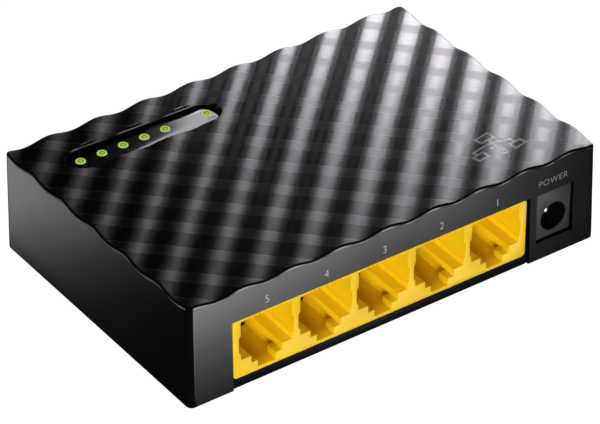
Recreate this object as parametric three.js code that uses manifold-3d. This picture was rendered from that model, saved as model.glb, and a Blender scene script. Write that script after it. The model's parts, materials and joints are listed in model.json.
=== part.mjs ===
// A five-port desktop network switch: a rippled plastic case, a gang of five modular jacks, a DC
// inlet, a row of indicator lights and the circuit board that hangs under the case's top.
// Millimetres, +Z up. +X runs to the right along the connector side, which faces -Y. The origin is
// under the middle of the case, on the plane that the rubber feet stand on.
import * as THREE from 'three';
import { mergeVertices } from 'three/addons/utils/BufferGeometryUtils.js';
import Module from 'manifold-3d';

const wasm = await Module();
wasm.setup();

// ---- driving dimensions ----

const caseWidth = 100;            // at the bottom edge
const caseDepth = 67.4;
const caseBottom = 1;             // the feet lift the case by this much
const caseTop = 24;               // mean height of the rippled top
const caseDraft = 0.45;           // each side leans in by this much over the case's height
const caseCorner = 1.3;           // radius of the four upright edges
const wall = 1.8;
const ceiling = 21.7;             // underside of the case's top
const baseThickness = 1.8;
const fit = 0.25;                 // gap left between neighbouring pieces

const ripple = { length: 8.05, height: 0.4, crest: -2.49, steps: 10 };

const portPitch = 13.97;
const portCount = 5;
const jackBlock = { x: -3.56, width: 71.5, bottom: 3.2, height: 13.65, front: -33, depth: 15.5 };
const cavityDepth = 12.9;
const latchLip = 3;   // the plug's latch catches behind the lower step, which is this thick
const wirePitch = 1.016;
const wireCount = 8;
const wireWidth = 0.36;

const inlet = { x: 39.28, width: 9, bottom: 5.5, height: 11.1, depth: 14.2, boreZ: 10, bore: 3.15 };
const inletFront = -33;

const board = { x: 46, front: -29.5, back: 25.6, bottom: 16.95, thickness: 1.6 };
const boardTop = board.bottom + board.thickness;
const partsFace = board.bottom - 0.1;   // the parts hang below the board from here
const boardScrews = [[-43, -24], [-43, 14], [43, 16]];
const caseScrews = [[-44, 28.9], [44, 28.9]];
const feet = [[-38, -25], [38, -25], [-38, 25], [38, 25]];

const lightPitch = 5.08;
const lightFirst = -38.05;
const lightY = 22.7;
const lightSteps = [0, 1, 2, 3, 4, 6];   // five port lights, a blank place, then the power light
const lightSlot = { x: -23.3, y: 22.25, length: 36.1, width: 7, floor: 22.85 };
const legendTop = 23.15;
const pipeRadius = 1.05;

// ---- materials ----

function plastic(color, roughness) {
  return new THREE.MeshStandardMaterial({ color, roughness, metalness: 0 });
}

function metal(color, roughness) {
  return new THREE.MeshStandardMaterial({ color, roughness, metalness: 1 });
}

const shellBlack = plastic(0x1b1b1e, 0.35);
const baseBlack = plastic(0x141416, 0.5);
const jackYellow = plastic(0xe8c318, 0.45);
const inletGrey = plastic(0x3c3c40, 0.55);
const carrierBlack = plastic(0x202022, 0.6);
const boardGreen = plastic(0x1d5a34, 0.5);
const chipBlack = plastic(0x18181a, 0.6);
const sleeveBlue = plastic(0x1c2c50, 0.4);
const ferriteGrey = plastic(0x4a4a4c, 0.7);
const legendBlack = plastic(0x0c0c0e, 0.12);
const pipeGreen = plastic(0x8fd42a, 0.2);
const ledWhite = plastic(0xe8e6da, 0.4);
const footRubber = plastic(0x232323, 0.9);
const labelSilver = plastic(0xb9babd, 0.45);
const gold = metal(0xd8b45a, 0.3);
const nickel = metal(0xb8b8b6, 0.3);
const screwSteel = metal(0x6e6e70, 0.4);

// ---- helpers ----

const networkSwitch = new THREE.Group();

function addMesh(name, geometry, material) {
  const mesh = new THREE.Mesh(geometry, material);
  mesh.name = name;
  networkSwitch.add(mesh);
}

// A closed geometry as a solid that can be joined and cut.
function solidOf(geometry) {
  const bare = geometry.index ? geometry.toNonIndexed() : geometry.clone();
  bare.deleteAttribute('normal');
  bare.deleteAttribute('uv');
  const merged = mergeVertices(bare, 1e-4);
  return new wasm.Manifold(new wasm.Mesh({
    numProp: 3,
    vertProperties: merged.attributes.position.array,
    triVerts: new Uint32Array(merged.index.array),
  }));
}

function geometryOf(solid) {
  const mesh = solid.getMesh();
  const geometry = new THREE.BufferGeometry();
  geometry.setAttribute('position', new THREE.BufferAttribute(mesh.vertProperties, mesh.numProp));
  geometry.setIndex(new THREE.BufferAttribute(mesh.triVerts, 1));
  const flat = geometry.toNonIndexed();
  flat.computeVertexNormals();
  return flat;
}

function cut(base, tools) {
  return tools.reduce((solid, tool) => solid.subtract(solidOf(tool)), base);
}

function join(base, extras) {
  return extras.reduce((solid, extra) => solid.add(solidOf(extra)), base);
}

// A box between two values on each axis.
function box(x0, x1, y0, y1, z0, z1) {
  const geometry = new THREE.BoxGeometry(x1 - x0, y1 - y0, z1 - z0);
  return geometry.translate((x0 + x1) / 2, (y0 + y1) / 2, (z0 + z1) / 2);
}

// An upright cylinder from z0 to z1.
function post(x, y, radius, z0, z1, sides = 16) {
  const geometry = new THREE.CylinderGeometry(radius, radius, z1 - z0, sides);
  return geometry.rotateX(Math.PI / 2).translate(x, y, (z0 + z1) / 2);
}

function roundedRect(width, height, radius) {
  const x = width / 2 - radius;
  const y = height / 2 - radius;
  const shape = new THREE.Shape();
  shape.absarc(x, y, radius, 0, Math.PI / 2);
  shape.absarc(-x, y, radius, Math.PI / 2, Math.PI);
  shape.absarc(-x, -y, radius, Math.PI, 1.5 * Math.PI);
  shape.absarc(x, -y, radius, 1.5 * Math.PI, 2 * Math.PI);
  return shape;
}

// A plate of the given outline from z0 to z1.
function plate(shape, z0, z1, curveSegments = 4) {
  const options = { depth: z1 - z0, bevelEnabled: false, curveSegments };
  return new THREE.ExtrudeGeometry(shape, options).translate(0, 0, z0);
}

// An outline given in X and Z, run back from y0 to y1.
function runBack(points, y0, y1) {
  const shape = new THREE.Shape(points.map(([x, z]) => new THREE.Vector2(x, -z)));
  const options = { depth: y1 - y0, bevelEnabled: false };
  return new THREE.ExtrudeGeometry(shape, options).rotateX(-Math.PI / 2).translate(0, y0, 0);
}

// An outline given in Y and Z, centred on x and as wide as stated.
function runAcross(points, x, width) {
  const shape = new THREE.Shape(points.map(([y, z]) => new THREE.Vector2(y, z)));
  const options = { depth: width, bevelEnabled: false };
  const geometry = new THREE.ExtrudeGeometry(shape, options);
  geometry.applyMatrix4(new THREE.Matrix4().makeBasis(
    new THREE.Vector3(0, 1, 0), new THREE.Vector3(0, 0, 1), new THREE.Vector3(1, 0, 0)));
  return geometry.translate(x - width / 2, 0, 0);
}

// A rounded block that narrows towards the top with the case's draft. inset takes it inwards.
function draftedBlock(inset, z0, z1) {
  const width = caseWidth - 2 * inset;
  const depth = caseDepth - 2 * inset;
  const geometry = plate(roundedRect(width, depth, Math.max(caseCorner - inset, 0.4)), z0, z1);
  const position = geometry.attributes.position;
  for (let i = 0; i < position.count; i++) {
    const lean = caseDraft * (position.getZ(i) - caseBottom) / (caseTop - caseBottom);
    position.setX(i, position.getX(i) * (1 - 2 * lean / width));
    position.setY(i, position.getY(i) * (1 - 2 * lean / depth));
  }
  return geometry;
}

// Everything below the rippled top: waves whose crests run from front left to back right.
function rippledBody() {
  const half = (caseWidth + caseDepth) / 2 / Math.SQRT2 + 1;
  const count = Math.ceil(2 * half / ripple.length * ripple.steps);
  const shape = new THREE.Shape();
  shape.moveTo(-half, caseBottom - 1);
  shape.lineTo(half, caseBottom - 1);
  for (let i = count; i >= 0; i--) {
    const u = -half + 2 * half * i / count;
    const phase = 2 * Math.PI * (u - ripple.crest) / ripple.length;
    shape.lineTo(u, caseTop + ripple.height * Math.cos(phase));
  }
  const options = { depth: 2 * half, bevelEnabled: false };
  const geometry = new THREE.ExtrudeGeometry(shape, options).translate(0, 0, -half);
  const across = new THREE.Vector3(1, -1, 0).normalize();
  const up = new THREE.Vector3(0, 0, 1);
  const basis = new THREE.Matrix4().makeBasis(across, up, across.clone().cross(up));
  return geometry.applyMatrix4(basis);
}

// The light slot's outline, a slot with round ends, grown or shrunk by an offset.
function stadium(offset, z0, z1) {
  const width = lightSlot.width + 2 * offset;
  const shape = roundedRect(lightSlot.length + 2 * offset, width, width / 2 - 0.01);
  return plate(shape, z0, z1, 8).translate(lightSlot.x, lightSlot.y, 0);
}

const lightX = lightSteps.map((step) => lightFirst + lightPitch * step);
const portX = Array.from({ length: portCount }, (_, i) => jackBlock.x + portPitch * (2 - i));

// ---- the case ----

function topShell() {
  let shell = solidOf(draftedBlock(0, caseBottom, caseTop + 2)).intersect(solidOf(rippledBody()));
  shell = cut(shell, [draftedBlock(wall, caseBottom - 1, ceiling)]);
  const bosses = caseScrews.map(([x, y]) => post(x, y, 2.7, 4.3, ceiling + 0.5));
  const posts = boardScrews.map(([x, y]) => post(x, y, 2.4, boardTop + 0.05, ceiling + 0.5));
  shell = join(shell, [...bosses, ...posts]);
  const half = jackBlock.width / 2;
  const jackTop = jackBlock.bottom + jackBlock.height;
  const sideGap = 0.44;
  const seamGap = 0.66;
  return cut(shell, [
    ...caseScrews.map(([x, y]) => post(x, y, 1.05, 4, 12, 12)),
    ...boardScrews.map(([x, y]) => post(x, y, 1.05, boardTop - 1, ceiling, 12)),
    box(jackBlock.x - half - sideGap, jackBlock.x + half + seamGap, -40, -30, 0, jackTop + fit),
    box(inlet.x - inlet.width / 2 - fit, inlet.x + inlet.width / 2 + fit, -40, -30,
      inlet.bottom - fit, inlet.bottom + inlet.height + fit),
    stadium(0, lightSlot.floor, caseTop + 2),
    ...lightX.map((x) => post(x, lightY, pipeRadius + 0.1, ceiling - 1, caseTop + 2)),
  ]);
}

function baseCover() {
  const gap = wall + fit;
  const outline = roundedRect(caseWidth - 2 * gap, caseDepth - 2 * gap, 0.6);
  const top = caseBottom + baseThickness;
  const half = jackBlock.width / 2;
  const tabFront = -caseDepth / 2 + gap;
  const base = join(solidOf(plate(outline, caseBottom, top)), [
    box(jackBlock.x - half - 0.2, jackBlock.x + half + 0.4, -33.05, tabFront + 1,
      caseBottom, jackBlock.bottom - 0.15),
    ...caseScrews.map(([x, y]) => post(x, y, 2.7, top - 0.5, 4.05)),
    ...[-44.5, 45.6].map((x) => box(x - 1.2, x + 1.2, tabFront, tabFront + 1.2, top - 0.5, 4.9)),
    ...[-20, 20].map((x) => box(x - 4, x + 4, -tabFront - 1.2, -tabFront, top - 0.5, 7)),
    ...[-12, 12].flatMap((y) => [-1, 1].map((side) => (
      box(side * 47.35 - 0.6, side * 47.35 + 0.6, y - 4, y + 4, top - 0.5, 7)))),
  ]);
  const slots = Array.from({ length: 15 }, (_, i) => (
    box(-29.1 + 4 * i, -26.9 + 4 * i, 1, 17, caseBottom - 1, top + 1)));
  return cut(base, [
    ...slots,
    ...feet.map(([x, y]) => post(x, y, 4.15, caseBottom - 1, caseBottom + 0.4, 24)),
    ...caseScrews.map(([x, y]) => post(x, y, 2.25, caseBottom - 1, caseBottom + 1.6)),
    ...caseScrews.map(([x, y]) => post(x, y, 1.25, caseBottom, 5, 12)),
  ]);
}

function foot(x, y) {
  const profile = [[0, 0], [3.6, 0], [4, 0.35], [4, caseBottom + 0.38], [0, caseBottom + 0.38]];
  const points = profile.map(([r, z]) => new THREE.Vector2(r, z));
  return new THREE.LatheGeometry(points, 24).rotateX(Math.PI / 2).translate(x, y, 0);
}

// A pan-head screw driven upwards, with a cross recess in its head, which is at headZ.
function screw(x, y, headZ, headRadius, headHeight, length) {
  const shank = 0.95;
  const tip = headZ + headHeight + length;
  const profile = [[0, headZ], [headRadius * 0.7, headZ], [headRadius, headZ + headHeight * 0.45],
    [headRadius, headZ + headHeight], [shank, headZ + headHeight], [shank, tip - 0.8], [0, tip]];
  const points = profile.map(([r, z]) => new THREE.Vector2(r, z));
  const body = new THREE.LatheGeometry(points, 12).rotateX(Math.PI / 2);
  const arm = headRadius * 0.55;
  const depth = headZ + headHeight * 0.6;
  const recess = [
    box(-arm, arm, -0.25, 0.25, headZ - 1, depth),
    box(-0.25, 0.25, -arm, arm, headZ - 1, depth),
  ];
  return geometryOf(cut(solidOf(body), recess)).translate(x, y, 0);
}

// ---- the lights ----

function legendStrip() {
  const strip = solidOf(stadium(-0.25, lightSlot.floor + 0.01, legendTop));
  return cut(strip, lightX.map((x) => post(x, lightY, pipeRadius + 0.1, 20, 26)));
}

// A clear pipe that carries one light up through the case, held by a flange under the ceiling.
function lightPipe(x) {
  const foot = boardTop + 0.85;
  const profile = [[0, foot], [pipeRadius, foot], [pipeRadius, 20.9], [1.6, 20.9],
    [1.6, ceiling - 0.1], [pipeRadius, ceiling - 0.1], [pipeRadius, legendTop],
    [0.75, legendTop + 0.12], [0, legendTop + 0.16]];
  const points = profile.map(([r, z]) => new THREE.Vector2(r, z));
  return new THREE.LatheGeometry(points, 16).rotateX(Math.PI / 2).translate(x, lightY, 0);
}

// ---- the modular jacks ----

// One jack's opening: plug body, then two latch steps below it. Heights are from the block's foot.
function jackOpening(x) {
  const half = [
    [2.12, 0.75], [2.12, 2.35], [3.62, 2.35], [3.62, 4], [6.02, 4], [6.02, 5.4],
    [6.45, 5.8], [6.45, 9.2], [6.02, 9.6], [6.02, 13],
  ];
  const mirrored = half.map(([w, h]) => [-w, h]).reverse();
  const outline = [...half, ...mirrored].map(([w, h]) => [x + w, jackBlock.bottom + h]);
  return runBack(outline, jackBlock.front - 1, jackBlock.front + cavityDepth);
}

function wireOffsets() {
  return Array.from({ length: wireCount }, (_, i) => wirePitch * (i - (wireCount - 1) / 2));
}

const carrier = { halfWidth: 5, low: 9.4, high: 16.3 };
const carrierFront = jackBlock.front + 13.5;
const carrierBack = jackBlock.front + jackBlock.depth + 1.7;
const bend = { y: jackBlock.front + 1.35, z: jackBlock.bottom + 12.85 };   // where the wires pivot

function portBlock() {
  const { x, width, bottom, height, front, depth } = jackBlock;
  const radius = 0.8;
  const outline = roundedRect(width, height, radius);
  const body = new THREE.ExtrudeGeometry(outline, { depth, bevelEnabled: false, curveSegments: 3 })
    .rotateX(-Math.PI / 2).translate(x, front, bottom + height / 2);
  const openings = portX.map(jackOpening);
  const latchPockets = portX.map((px) => (
    box(px - 3.62, px + 3.62, front + latchLip, front + cavityDepth, bottom + 0.75, bottom + 4)));
  const slots = portX.flatMap((px) => wireOffsets().map((dx) => (
    box(px + dx - 0.26, px + dx + 0.26, front - 1, front + 11.6, bottom + 12.9, bottom + 13.4))));
  const grooves = portX.map((px) => (
    box(px - 4.1, px + 4.1, bend.y - 0.45, bend.y + 0.45, bottom + 12.4, bottom + 13.4)));
  const pockets = portX.map((px) => (
    box(px - carrier.halfWidth - 0.15, px + carrier.halfWidth + 0.15, carrierFront - 0.1,
      front + depth + 1, carrier.low - 0.15, carrier.high + 0.15)));
  return cut(solidOf(body), [...openings, ...latchPockets, ...slots, ...grooves, ...pockets]);
}

// The insert behind each jack holds the wires' tails, which rise through the board in two rows.
function tailPlaces(x) {
  return wireOffsets().map((dx, i) => [x + dx, carrierBack - (i % 2 ? 0.45 : 1.35)]);
}

function contactCarrier(x) {
  const block = box(x - carrier.halfWidth, x + carrier.halfWidth, carrierFront, carrierBack,
    carrier.low, carrier.high);
  const tails = tailPlaces(x).map(([tx, ty]) => (
    box(tx - 0.2, tx + 0.2, ty - 0.2, ty + 0.2, carrier.high - 1, boardTop + 0.9)));
  return join(solidOf(block), tails);
}

// The eight spring wires of one jack, joined at their front bend. They slope down to the rear.
function contactSet(x) {
  const { y, z } = bend;
  const slope = [[y, z + 0.16], [y - 0.1, z - 0.18], [y + 8.6, z - 3.1], [y + 9.9, z - 3.1],
    [y + 9.9, z - 2.8], [y + 8.65, z - 2.8]];
  const bar = new THREE.CylinderGeometry(0.24, 0.24, 7.6, 10).rotateZ(Math.PI / 2);
  const wires = wireOffsets().map((dx) => runAcross(slope, x + dx, wireWidth));
  return join(solidOf(bar.translate(x, y, z)), wires);
}

// ---- the DC inlet ----

// A cylinder that runs along Y.
function rod(x, z, radius, y0, y1, sides = 20) {
  return new THREE.CylinderGeometry(radius, radius, y1 - y0, sides).translate(x, (y0 + y1) / 2, z);
}

const boreX = inlet.x + 0.1;
const inletBack = inletFront + inlet.depth;
const inletTop = inlet.bottom + inlet.height;
const bladeRoot = { y: -21.3, z: 14.6 };

function inletHousing() {
  const half = inlet.width / 2;
  const body = box(inlet.x - half, inlet.x + half, inletFront, inletBack, inlet.bottom, inletTop);
  const bladeSlot = box(boreX - 1.4, boreX + 1.4, -31.4, -20.4, inlet.boreZ + 2, 15.6);
  return cut(solidOf(body), [
    rod(boreX, inlet.boreZ, inlet.bore, inletFront - 1, inletFront + 10, 32),
    rod(boreX, inlet.boreZ, pipeRadius + 0.1, inletFront, inletBack + 1),
    bladeSlot,
  ]);
}

// The centre pin, rounded at its tip, and the tab that takes it up through the board.
function inletPin() {
  const radius = pipeRadius;
  const tip = inletFront + 2.3;
  const end = inletBack + 0.5;
  const points = [new THREE.Vector2(0, tip)];
  for (let i = 1; i <= 4; i++) {
    const a = i / 4 * Math.PI / 2;
    points.push(new THREE.Vector2(radius * Math.sin(a), tip + radius * (1 - Math.cos(a))));
  }
  points.push(new THREE.Vector2(radius, end), new THREE.Vector2(0, end));
  const pin = new THREE.LatheGeometry(points, 16).translate(boreX, 0, inlet.boreZ);
  const tab = box(boreX - 1.2, boreX + 1.2, inletBack + 0.3, inletBack + 0.9,
    inlet.boreZ - 1.2, boardTop + 0.9);
  return join(solidOf(pin), [tab]);
}

// The sprung blade that presses on the plug's sleeve, bowed down into the bore.
function inletBlade() {
  const { y, z } = bladeRoot;
  const thick = 0.3;
  const lower = [[y, z], [y - 4.4, z - 1.4], [y - 6.2, z - 1.85], [y - 7.2, z - 1.6], [y - 8.8, z - 0.6]];
  const upper = lower.map(([py, pz]) => [py, pz + thick]).reverse();
  return solidOf(runAcross([...lower, ...upper].reverse(), boreX, 2.3));
}

// ---- the board and its parts ----

function circuitBoard() {
  const { x, front, back, bottom } = board;
  const outline = roundedRect(2 * x, back - front, 1);
  const body = plate(outline, bottom, boardTop).translate(0, (front + back) / 2, 0);
  const tails = portX.flatMap(tailPlaces).map(([tx, ty]) => (
    box(tx - 0.4, tx + 0.4, ty - 0.4, ty + 0.4, bottom - 1, boardTop + 1)));
  return cut(solidOf(body), [
    ...tails,
    ...boardScrews.map(([sx, sy]) => post(sx, sy, 1.3, bottom - 1, boardTop + 1, 12)),
    box(boreX - 1.5, boreX + 1.5, inletBack, inletBack + 1.2, bottom - 1, boardTop + 1),
  ]);
}

// A moulded package with a bevelled top, hanging below the board.
function chipPackage(x, y, width, depth, height, bevel) {
  const body = roundedRect(width - 2 * bevel, depth - 2 * bevel, 0.3);
  const options = {
    depth: height - 2 * bevel, bevelThickness: bevel, bevelSize: bevel, bevelSegments: 1, curveSegments: 1,
  };
  return new THREE.ExtrudeGeometry(body, options).translate(x, y, partsFace - height + bevel);
}

function capacitor(x, y) {
  const radius = 3.15;
  const low = partsFace - 9;
  const profile = [[0, low], [radius - 0.5, low], [radius, low + 0.5], [radius, partsFace - 2.2],
    [radius - 0.35, partsFace - 1.9], [radius - 0.35, partsFace - 1.6], [radius, partsFace - 1.3],
    [radius, partsFace], [0, partsFace]];
  const points = profile.map(([r, z]) => new THREE.Vector2(r, z));
  return new THREE.LatheGeometry(points, 20).rotateX(Math.PI / 2).translate(x, y, 0);
}

function crystal(x, y) {
  return plate(roundedRect(11, 4.6, 2.25), partsFace - 3.5, partsFace, 6).translate(x, y, 0);
}

// ---- the assembly ----

addMesh('top_shell', geometryOf(topShell()), shellBlack);
addMesh('base_cover', geometryOf(baseCover()), baseBlack);
feet.forEach(([x, y], i) => addMesh(`rubber_foot_${i + 1}`, foot(x, y), footRubber));
caseScrews.forEach(([x, y], i) => (
  addMesh(`case_screw_${i + 1}`, screw(x, y, 1.15, 2.05, 1.4, 8), screwSteel)));
boardScrews.forEach(([x, y], i) => (
  addMesh(`board_screw_${i + 1}`, screw(x, y, board.bottom - 1.5, 2.05, 1.4, 4), screwSteel)));
addMesh('rating_label', plate(roundedRect(46, 16, 1.5), caseBottom - 0.15, caseBottom - 0.01)
  .translate(0, -12, 0), labelSilver);

addMesh('legend_strip', geometryOf(legendStrip()), legendBlack);
lightX.forEach((x, i) => {
  const name = i < portCount ? `${portCount - i}` : 'power';
  addMesh(`light_pipe_${name}`, lightPipe(x), pipeGreen);
  const led = box(x - 0.8, x + 0.8, lightY - 0.4, lightY + 0.4, boardTop + 0.05, boardTop + 0.7);
  addMesh(`led_${name}`, led, ledWhite);
});

addMesh('port_block', geometryOf(portBlock()), jackYellow);
portX.forEach((x, i) => {
  addMesh(`contact_carrier_${i + 1}`, geometryOf(contactCarrier(x)), carrierBlack);
  addMesh(`contact_wires_${i + 1}`, geometryOf(contactSet(x)), gold);
  addMesh(`line_transformer_${i + 1}`, chipPackage(x, -9.6, 12.4, 8.8, 5.2, 0.3), chipBlack);
});

addMesh('inlet_housing', geometryOf(inletHousing()), inletGrey);
addMesh('inlet_pin', geometryOf(inletPin()), nickel);
addMesh('inlet_blade', geometryOf(inletBlade()), nickel);

addMesh('circuit_board', geometryOf(circuitBoard()), boardGreen);
addMesh('switch_chip', chipPackage(-4, 8, 14, 14, 1.4, 0.25), chipBlack);
addMesh('regulator_chip', chipPackage(33.8, -4, 5, 4, 1.5, 0.2), chipBlack);
addMesh('choke', chipPackage(33.5, 6, 7, 7, 3.2, 0.4), ferriteGrey);
addMesh('crystal', crystal(-24, 8), nickel);
addMesh('capacitor_1', capacitor(40, -10), sleeveBlue);
addMesh('capacitor_2', capacitor(40, -2), sleeveBlue);

export default networkSwitch;
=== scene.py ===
import json
import math

import bmesh
import bpy
from mathutils import Matrix, Vector


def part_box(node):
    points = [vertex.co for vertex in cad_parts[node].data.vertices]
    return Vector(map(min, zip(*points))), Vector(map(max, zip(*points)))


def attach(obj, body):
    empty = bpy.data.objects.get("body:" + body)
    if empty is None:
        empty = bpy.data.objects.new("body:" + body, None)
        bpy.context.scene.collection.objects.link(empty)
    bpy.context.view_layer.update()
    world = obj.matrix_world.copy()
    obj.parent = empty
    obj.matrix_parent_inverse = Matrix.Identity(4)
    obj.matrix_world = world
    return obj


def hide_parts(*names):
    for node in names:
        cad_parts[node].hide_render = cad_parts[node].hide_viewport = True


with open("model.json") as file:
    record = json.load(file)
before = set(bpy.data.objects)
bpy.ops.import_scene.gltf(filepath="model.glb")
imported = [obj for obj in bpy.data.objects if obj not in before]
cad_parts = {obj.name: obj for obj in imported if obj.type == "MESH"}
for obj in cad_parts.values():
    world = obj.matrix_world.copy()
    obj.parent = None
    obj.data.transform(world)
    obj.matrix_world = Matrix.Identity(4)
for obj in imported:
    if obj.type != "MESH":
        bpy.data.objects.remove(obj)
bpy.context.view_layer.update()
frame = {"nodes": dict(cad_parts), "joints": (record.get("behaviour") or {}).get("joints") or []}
nodes = frame["nodes"]
scene = bpy.context.scene
mm = 0.001
print("frame loaded:", len(nodes), "nodes")


# mesh helpers

def toMesh(bm, name):
    bmesh.ops.recalc_face_normals(bm, faces=bm.faces)
    mesh = bpy.data.meshes.new(name)
    bm.to_mesh(mesh)
    bm.free()
    return mesh


def addPiece(name, mesh, materials, body="housing", slot=None, replaces=(), smooth=38):
    piece = bpy.data.objects.new(name, mesh)
    scene.collection.objects.link(piece)
    if not mesh.materials:
        for material in materials:
            mesh.materials.append(material)
    mesh.shade_smooth()
    mesh.set_sharp_from_angle(angle=math.radians(smooth))
    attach(piece, body)
    if replaces:
        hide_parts(*replaces)
    return piece


def combine(mesh, tool, operation="DIFFERENCE"):
    holder = bpy.data.objects.new("holder", mesh)
    cutter = bpy.data.objects.new("cutter", tool)
    for item in (holder, cutter):
        scene.collection.objects.link(item)
    step = holder.modifiers.new("combine", "BOOLEAN")
    step.operation = operation
    step.solver = "MANIFOLD"
    step.object = cutter
    graph = bpy.context.evaluated_depsgraph_get()
    result = bpy.data.meshes.new_from_object(holder.evaluated_get(graph))
    bpy.data.objects.remove(holder)
    bpy.data.objects.remove(cutter)
    return result


def addBox(bm, low, high, corner=0.0):
    # a box between two corners, its upright edges rounded if a corner radius is given
    made = bmesh.ops.create_cube(bm, size=1)
    verts = made["verts"]
    size = Vector(high) - Vector(low)
    bmesh.ops.scale(bm, vec=size, verts=verts)
    bmesh.ops.translate(bm, vec=(Vector(high) + Vector(low)) / 2, verts=verts)
    if corner > 0:
        edges = {e for v in verts for e in v.link_edges}
        upright = [e for e in edges if abs((e.verts[0].co - e.verts[1].co).normalized().z) > 0.99]
        bmesh.ops.bevel(bm, geom=upright, offset=corner, segments=3, profile=0.5, affect="EDGES", material=-1)


def bevelSharp(bm, width, segments=2, angle=30):
    edges = [e for e in bm.edges if e.is_manifold and e.calc_face_angle() > math.radians(angle)]
    bmesh.ops.bevel(bm, geom=edges, offset=width, offset_type="OFFSET", segments=segments,
                    profile=0.5, affect="EDGES", clamp_overlap=True, material=-1)


def boxMesh(name, low, high, edge=0.0002, corner=0.0):
    bm = bmesh.new()
    addBox(bm, low, high, corner)
    bevelSharp(bm, edge)
    return toMesh(bm, name)


def turnedMesh(name, profile, centre, axis="Z", steps=48):
    # a profile of (radius, height) pairs spun about an upright or a front-to-back axis
    bm = bmesh.new()
    verts = [bm.verts.new((r, 0, h)) for r, h in profile]
    edges = [bm.edges.new(pair) for pair in zip(verts, verts[1:])]
    bmesh.ops.spin(bm, geom=verts + edges, cent=(0, 0, 0), axis=(0, 0, 1), angle=2 * math.pi,
                   steps=steps, use_merge=True)
    bmesh.ops.remove_doubles(bm, verts=bm.verts, dist=1e-7)
    if axis == "Y":
        bmesh.ops.rotate(bm, cent=(0, 0, 0), matrix=Matrix.Rotation(-math.pi / 2, 3, "X"), verts=bm.verts)
    bmesh.ops.translate(bm, vec=centre, verts=bm.verts)
    return toMesh(bm, name)


def addStadium(bm, centre, length, width, levels, segments=48):
    # a slot shape with round ends, lofted through (height, growth) levels
    radius = width / 2
    half = length / 2 - radius
    verts = bmesh.ops.create_circle(bm, cap_ends=True, radius=radius, segments=segments)["verts"]
    turn = Matrix.Rotation(math.pi / segments, 3, "Z")
    bmesh.ops.rotate(bm, cent=(0, 0, 0), matrix=turn, verts=verts)
    for v in verts:
        v.co.x += math.copysign(half, v.co.x)

    def settle(ring, height, growth):
        for v in ring:
            end = math.copysign(half, v.co.x)
            out = Vector((v.co.x - end, v.co.y, 0)).normalized()
            v.co = Vector((end, 0, height)) + out * (radius + growth)

    settle(verts, *levels[0])
    everything = list(verts)
    face = verts[0].link_faces[0]
    for index, (height, growth) in enumerate(levels[1:]):
        grown = bmesh.ops.extrude_face_region(bm, geom=[face])["geom"]
        if index > 0:
            bmesh.ops.delete(bm, geom=[face], context="FACES_ONLY")
        face = next(g for g in grown if isinstance(g, bmesh.types.BMFace))
        ring = [g for g in grown if isinstance(g, bmesh.types.BMVert)]
        settle(ring, height, growth)
        everything += ring
    bmesh.ops.translate(bm, vec=(centre[0], centre[1], 0), verts=everything)
    return everything


def polishedCopy(name, node, width, segments=2, angle=30):
    # the CAD solid with its flat faces joined and its sharp edges softened
    bm = bmesh.new()
    bm.from_mesh(nodes[node].data)
    bmesh.ops.remove_doubles(bm, verts=bm.verts, dist=1e-6)
    bmesh.ops.dissolve_limit(bm, angle_limit=math.radians(1), verts=bm.verts, edges=bm.edges)
    if width > 0:
        bevelSharp(bm, width, segments, angle)
    mesh = bpy.data.meshes.new(name)
    bm.to_mesh(mesh)
    bm.free()
    return mesh


def centreOf(node):
    low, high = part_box(node)
    return (low + high) / 2


# material helpers

def startMaterial(name, color, roughness, metallic=0.0, **sockets):
    material = bpy.data.materials.new(name)
    material.use_nodes = True
    shader = material.node_tree.nodes["Principled BSDF"]
    shader.inputs["Base Color"].default_value = (*color, 1)
    shader.inputs["Roughness"].default_value = roughness
    shader.inputs["Metallic"].default_value = metallic
    for socket, value in sockets.items():
        shader.inputs[socket.replace("_", " ")].default_value = value
    return material, material.node_tree, shader


def place(tree, scale=(1, 1, 1), turn=0.0):
    coords = tree.nodes.new("ShaderNodeTexCoord")
    mapping = tree.nodes.new("ShaderNodeMapping")
    mapping.inputs["Scale"].default_value = scale
    mapping.inputs["Rotation"].default_value = (0, 0, turn)
    tree.links.new(coords.outputs["Object"], mapping.inputs["Vector"])
    return mapping.outputs["Vector"]


def grainOf(tree, vector, scale, detail=3.0, roughness=0.55):
    grain = tree.nodes.new("ShaderNodeTexNoise")
    grain.inputs["Scale"].default_value = scale
    grain.inputs["Detail"].default_value = detail
    grain.inputs["Roughness"].default_value = roughness
    tree.links.new(vector, grain.inputs["Vector"])
    return grain.outputs["Fac"]


def spread(tree, value, low, high, fromLow=0.3, fromHigh=0.7):
    span = tree.nodes.new("ShaderNodeMapRange")
    for socket, number in (("From Min", fromLow), ("From Max", fromHigh), ("To Min", low), ("To Max", high)):
        span.inputs[socket].default_value = number
    tree.links.new(value, span.inputs["Value"])
    return span.outputs["Result"]


def blendColors(tree, factor, first, second):
    mix = tree.nodes.new("ShaderNodeMix")
    mix.data_type = "RGBA"
    mix.inputs[6].default_value = (*first, 1)
    mix.inputs[7].default_value = (*second, 1)
    tree.links.new(factor, mix.inputs[0])
    return mix.outputs[2]


def maths(tree, operation, first, second=None):
    step = tree.nodes.new("ShaderNodeMath")
    step.operation = operation
    for socket, value in zip(step.inputs, (first, second)):
        if value is None:
            continue
        if isinstance(value, (int, float)):
            socket.default_value = value
        else:
            tree.links.new(value, socket)
    return step.outputs[0]


def relief(tree, shader, height, strength, distance):
    bump = tree.nodes.new("ShaderNodeBump")
    bump.inputs["Strength"].default_value = strength
    bump.inputs["Distance"].default_value = distance
    tree.links.new(height, bump.inputs["Height"])
    tree.links.new(bump.outputs["Normal"], shader.inputs["Normal"])


# materials

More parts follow.
